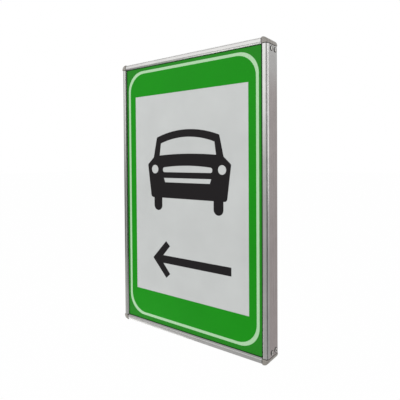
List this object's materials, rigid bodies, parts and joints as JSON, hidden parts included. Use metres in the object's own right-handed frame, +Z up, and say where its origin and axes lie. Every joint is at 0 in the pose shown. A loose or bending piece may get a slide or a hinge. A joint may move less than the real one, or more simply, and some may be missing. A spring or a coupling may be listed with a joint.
{
  "type": "tunnel cross passage sign",
  "caption": "Upright slim light box sign with an aluminium snap frame, green bordered face, car figure and left arrow, for fixing flat to a tunnel wall.",
  "frame": {"origin": "centre of the four wall bolts, in the plane of the mounting bars' back faces", "axes": "+Z up, +X to the right as the face is read, -Y out of the face towards the viewer"},
  "size_m": [0.5034, 0.055, 0.8138],
  "materials": {
    "anodised_aluminium": "satin anodised extrusion",
    "cap_grey": "matt grey moulding",
    "spring_steel": "spring steel strip",
    "screw_steel": "zinc plated",
    "opal_panel": "satin opal sheet",
    "green_film": "satin translucent green film",
    "black_film": "satin black film",
    "foam_rubber": "closed cell foam and rubber",
    "plate_aluminium": "mill finish sheet",
    "reflector_white": "matt white sheet",
    "board_white": "white solder mask",
    "lens_clear": "clear moulded lens",
    "black_plastic": "black nylon",
    "ivory_plastic": "ivory moulding",
    "wire_red": "red insulation",
    "wire_black": "black insulation",
    "wire_brown": "brown insulation",
    "wire_blue": "blue insulation"
  },
  "bodies": {
    "housing": {"frame_rail_right": "anodised_aluminium", "frame_rail_top": "anodised_aluminium", "frame_rail_left": "anodised_aluminium", "frame_rail_bottom": "anodised_aluminium", "corner_cap_top_right": "cap_grey", "corner_cap_top_left": "cap_grey", "corner_cap_bottom_left": "cap_grey", "corner_cap_bottom_right": "cap_grey", "snap_springs_right": "spring_steel", "snap_springs_top": "spring_steel", "snap_springs_left": "spring_steel", "snap_springs_bottom": "spring_steel", "corner_screws": "screw_steel", "back_plate_screws": "screw_steel", "driver_screws": "screw_steel", "mount_nuts": "screw_steel", "face_panel": "opal_panel", "green_film": "green_film", "car_film": "black_film", "arrow_film": "black_film", "face_gasket": "foam_rubber", "back_seal": "foam_rubber", "gland_seal": "foam_rubber", "gland_washer": "foam_rubber", "back_plate": "plate_aluminium", "mount_bar_upper": "plate_aluminium", "mount_bar_lower": "plate_aluminium", "mount_rivets": "plate_aluminium", "driver_case": "plate_aluminium", "reflector_sheet": "reflector_white", "led_bar_1": "board_white", "led_bar_2": "board_white", "led_bar_3": "board_white", "led_bar_4": "board_white", "led_bar_5": "board_white", "led_bar_6": "board_white", "led_lenses": "lens_clear", "driver_cap_left": "black_plastic", "driver_cap_right": "black_plastic", "gland_body": "black_plastic", "gland_locknut": "black_plastic", "gland_nut": "black_plastic", "terminal_block": "ivory_plastic", "supply_wire_plus": "wire_red", "supply_wire_minus": "wire_black", "input_wire_live": "wire_brown", "input_wire_neutral": "wire_blue"},
    "snap_right": {"snap_rail_right": "anodised_aluminium"},
    "snap_top": {"snap_rail_top": "anodised_aluminium"},
    "snap_left": {"snap_rail_left": "anodised_aluminium"},
    "snap_bottom": {"snap_rail_bottom": "anodised_aluminium"}
  },
  "joints": [
    {"name": "snap_right_hinge", "type": "hinge", "parent": "housing", "child": "snap_right", "pos_m": [0.2445, -0.0528, 0], "axis": [0, 0, 1], "range_deg": [0, 90]},
    {"name": "snap_top_hinge", "type": "hinge", "parent": "housing", "child": "snap_top", "pos_m": [0, -0.0528, 0.3945], "axis": [-1, 0, 0], "range_deg": [0, 90]},
    {"name": "snap_left_hinge", "type": "hinge", "parent": "housing", "child": "snap_left", "pos_m": [-0.2445, -0.0528, 0], "axis": [0, 0, -1], "range_deg": [0, 90]},
    {"name": "snap_bottom_hinge", "type": "hinge", "parent": "housing", "child": "snap_bottom", "pos_m": [0, -0.0528, -0.3945], "axis": [1, 0, 0], "range_deg": [0, 90]}
  ]
}
